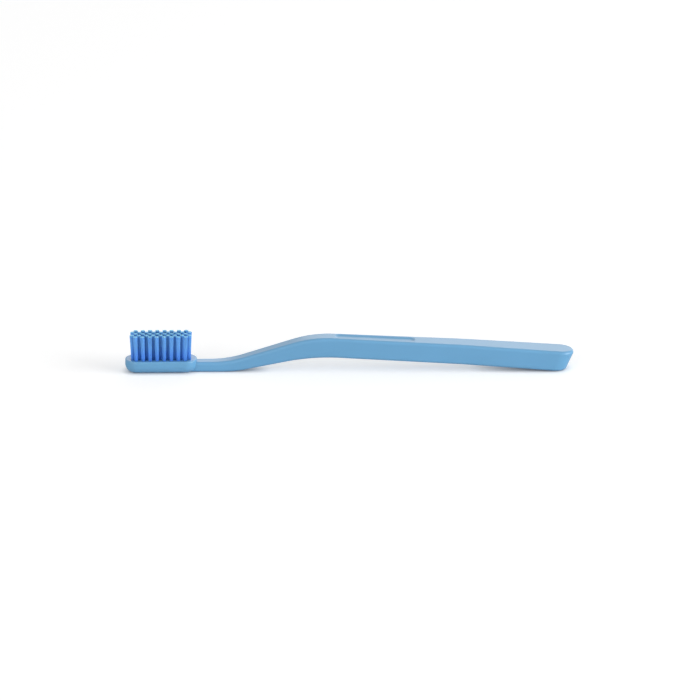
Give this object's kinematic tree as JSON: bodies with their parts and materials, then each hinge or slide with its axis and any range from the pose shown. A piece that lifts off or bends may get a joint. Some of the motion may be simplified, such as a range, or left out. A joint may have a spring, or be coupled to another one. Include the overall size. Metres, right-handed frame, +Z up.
{
  "type": "manual toothbrush",
  "caption": "Manual toothbrush lying on its back: one-piece moulded handle with an S-bent neck, thumb recess and tapered grip, and staggered bristle tufts anchored in the head.",
  "frame": {"origin": "under the middle of the length, on the surface that the brush lies on", "axes": "+X from the head to the tail, +Y across the brush, +Z up, the way the bristles point"},
  "size_m": [0.188, 0.0122, 0.0162],
  "materials": {
    "handle_plastic": "satin moulded plastic",
    "bristle_nylon": "translucent nylon filaments",
    "anchor_brass": "rolled sheet"
  },
  "bodies": {
    "root": {"handle": "handle_plastic", "row_1_tuft_1": "bristle_nylon", "row_1_tuft_2": "bristle_nylon", "row_1_tuft_3": "bristle_nylon", "row_1_tuft_4": "bristle_nylon", "row_1_tuft_5": "bristle_nylon", "row_1_tuft_6": "bristle_nylon", "row_1_tuft_7": "bristle_nylon", "row_1_tuft_8": "bristle_nylon", "row_1_anchors": "anchor_brass", "row_2_tuft_1": "bristle_nylon", "row_2_tuft_2": "bristle_nylon", "row_2_tuft_3": "bristle_nylon", "row_2_tuft_4": "bristle_nylon", "row_2_tuft_5": "bristle_nylon", "row_2_tuft_6": "bristle_nylon", "row_2_tuft_7": "bristle_nylon", "row_2_tuft_8": "bristle_nylon", "row_2_tuft_9": "bristle_nylon", "row_2_anchors": "anchor_brass", "row_3_tuft_1": "bristle_nylon", "row_3_tuft_2": "bristle_nylon", "row_3_tuft_3": "bristle_nylon", "row_3_tuft_4": "bristle_nylon", "row_3_tuft_5": "bristle_nylon", "row_3_tuft_6": "bristle_nylon", "row_3_tuft_7": "bristle_nylon", "row_3_tuft_8": "bristle_nylon", "row_3_anchors": "anchor_brass", "row_4_tuft_1": "bristle_nylon", "row_4_tuft_2": "bristle_nylon", "row_4_tuft_3": "bristle_nylon", "row_4_tuft_4": "bristle_nylon", "row_4_tuft_5": "bristle_nylon", "row_4_tuft_6": "bristle_nylon", "row_4_tuft_7": "bristle_nylon", "row_4_tuft_8": "bristle_nylon", "row_4_tuft_9": "bristle_nylon", "row_4_anchors": "anchor_brass", "row_5_tuft_1": "bristle_nylon", "row_5_tuft_2": "bristle_nylon", "row_5_tuft_3": "bristle_nylon", "row_5_tuft_4": "bristle_nylon", "row_5_tuft_5": "bristle_nylon", "row_5_tuft_6": "bristle_nylon", "row_5_tuft_7": "bristle_nylon", "row_5_tuft_8": "bristle_nylon", "row_5_anchors": "anchor_brass"}
  },
  "joints": []
}
